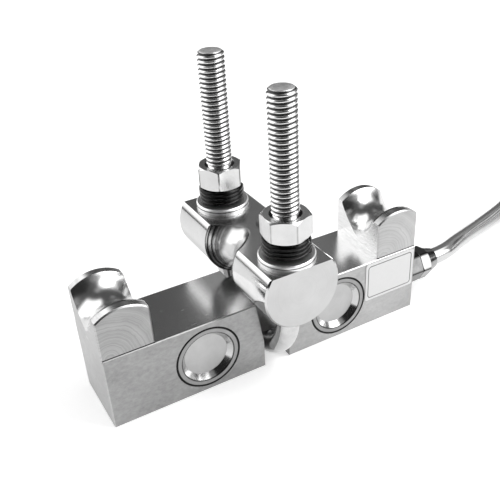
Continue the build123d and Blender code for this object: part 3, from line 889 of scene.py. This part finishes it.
def make_world():
    """A studio of panels for metal to mirror, even light on plain surfaces and white behind the object."""
    world = bpy.data.worlds.new("studio")
    bpy.context.scene.world = world
    world.use_nodes = True
    n = Nodes(world.node_tree)
    x, y, z = n.split(n.tree.nodes.new("ShaderNodeTexCoord").outputs["Generated"])
    around = n.math("DEGREES", n.math("ARCTAN2", y, x))
    height = n.math("DEGREES", n.math("ARCSINE", z))
    studio = studio_dark
    for panel in studio_panels.values():
        across = n.window(around, panel.left, panel.right, panel.edge)
        upward = n.window(height, panel.bottom, panel.top, panel.edge)
        studio = n.mix(n.all_of(across, upward), studio, panel.level)
    path = n.tree.nodes.new("ShaderNodeLightPath").outputs
    mirrored = n.math("MAXIMUM", path["Is Glossy Ray"], path["Is Transmission Ray"])
    level = n.mix(path["Is Camera Ray"], n.mix(mirrored, plain_level, studio), 1.0)
    background = n.tree.nodes["Background"]
    n.wire(n.grey(level), background.inputs["Color"])
    background.inputs["Strength"].default_value = 1.0


def make_lamp(name, place, size, power):
    """A soft square lamp."""
    light = bpy.data.lights.new(name, "AREA")
    light.shape = "RECTANGLE"
    light.size = size
    light.size_y = size
    light.energy = power
    lamp = bpy.data.objects.new(name, light)
    lamp.location = place
    lamp.rotation_euler = (Vector(lamp_aim) - Vector(place)).to_track_quat("-Z", "Y").to_euler()
    bpy.context.scene.collection.objects.link(lamp)


def make_floor():
    """A white floor that metal mirrors and that keeps the object's faint shadow."""
    reach = floor_half_size
    corners = [(-reach, -reach, 0), (reach, -reach, 0), (reach, reach, 0), (-reach, reach, 0)]
    mesh = bpy.data.meshes.new("floor")
    mesh.from_pydata(corners, [], [(0, 1, 2, 3)])
    floor = bpy.data.objects.new("floor", mesh)
    floor.location.z = -floor_drop
    bpy.context.scene.collection.objects.link(floor)
    s = Shader("floor")
    mesh.materials.append(s.material)
    s.set(Base_Color=(floor_tone, floor_tone, floor_tone), Roughness=0.9, Specular_IOR_Level=0.0)
    path = s.tree.nodes.new("ShaderNodeLightPath").outputs
    mirrored = s.math("MAXIMUM", path["Is Glossy Ray"], path["Is Transmission Ray"])
    glow = s.mix(path["Is Camera Ray"], s.math("MULTIPLY", mirrored, floor_glow_mirrored), floor_glow_seen)
    s.set(Emission_Color=(1.0, 1.0, 1.0), Emission_Strength=glow)


# Making

make_camera()

jacket_material = jacket()
cable = curve_piece("cable_run", cable_route + coil_points(), cable_diameter / 2, jacket_material)
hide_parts("cable", "cable_coil")

tinned = plated_steel("tinned_copper", tone=0.66, rough=0.3)
cores = []
for number, colour in enumerate(core_colours):
    insulation = plain_plastic(f"core_insulation_{number + 1}", colour, 0.35)
    route = core_points(number)
    core = curve_piece(f"core_{number + 1}", route, core_diameter / 2, insulation)
    tip = curve_piece(f"core_tip_{number + 1}", core_tip_points(route), core_tip_radius, tinned)
    cores += [core, tip]
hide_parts("core_wires")

thread_material = stud_steel()
for side, end in ((-1, "front"), (1, "rear")):
    stud = mesh_piece(f"{end}_stud", *thread_mesh(side * stud_place), thread_material)
shank = mesh_piece("u_bolt_shank", *shank_mesh(), thread_material)
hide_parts("u_bolt")

black = black_steel()
for end, side, start in (("front", -1, front_washer_start), ("rear", 1, rear_washer_start)):
    name = f"{end}_spring_coil"
    spring = mesh_piece(name, *spring_washer_mesh(side * stud_place, start), black)
    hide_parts(f"{end}_spring_washer")

nickel = plated_steel("nickel_plating", tone=0.26, rough=0.03, shades=gland_corners, shade_tone=0.02)
body_nickel = plated_steel("body_plating", tone=0.05, rough=0.06, shades=gland_corners, shade_tone=0.02)
fastener = plated_steel("fastener_plating", tone=0.6, rough=0.1, shades=nut_shades, shade_tone=0.04)
washer_steel = plated_steel("washer_plating", tone=0.8, rough=0.3, shades=washer_shade_line, shade_tone=0.03)
cap_material = cap_steel()
gauge_material = gauge_film()
rubber = plain_plastic("rubber", (0.03, 0.03, 0.03), 0.5)
wire_plastic = plain_plastic("lead_insulation", (0.42, 0.42, 0.43), 0.4)
node_materials = {
    "beam": beam_steel(),
    "press_bar": bar_steel(),
    "rating_plate": plate_film(),
    "gland_seal": rubber,
    "gland_grommet": rubber,
    "gland_body": body_nickel,
    "gland_nut": nickel,
    "cable_stub": jacket_material,
    "cable_sleeve": plain_plastic("shrink_sleeve", (0.03, 0.03, 0.032), 0.42),
    "coil_ties": plain_plastic("tie_nylon", (0.045, 0.045, 0.047), 0.4),
    "terminal_board": plain_plastic("board_varnish", (0.03, 0.2, 0.08), 0.25),
    "inner_lead": wire_plastic,
    "link_lead": wire_plastic,
}
for end in ("front", "rear"):
    node_materials[f"{end}_flat_washer"] = washer_steel
    node_materials[f"{end}_nut"] = fastener
    for half in ("left", "right"):
        node_materials[f"{end}_{half}_cap"] = cap_material
        node_materials[f"{end}_{half}_gauge"] = gauge_material
for node, material in node_materials.items():
    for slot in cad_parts[node].material_slots:
        slot.material = material

make_world()
make_floor()
make_lamp("key", **key_lamp)
make_lamp("fill", **fill_lamp)

bpy.context.scene.view_settings.view_transform = "Standard"
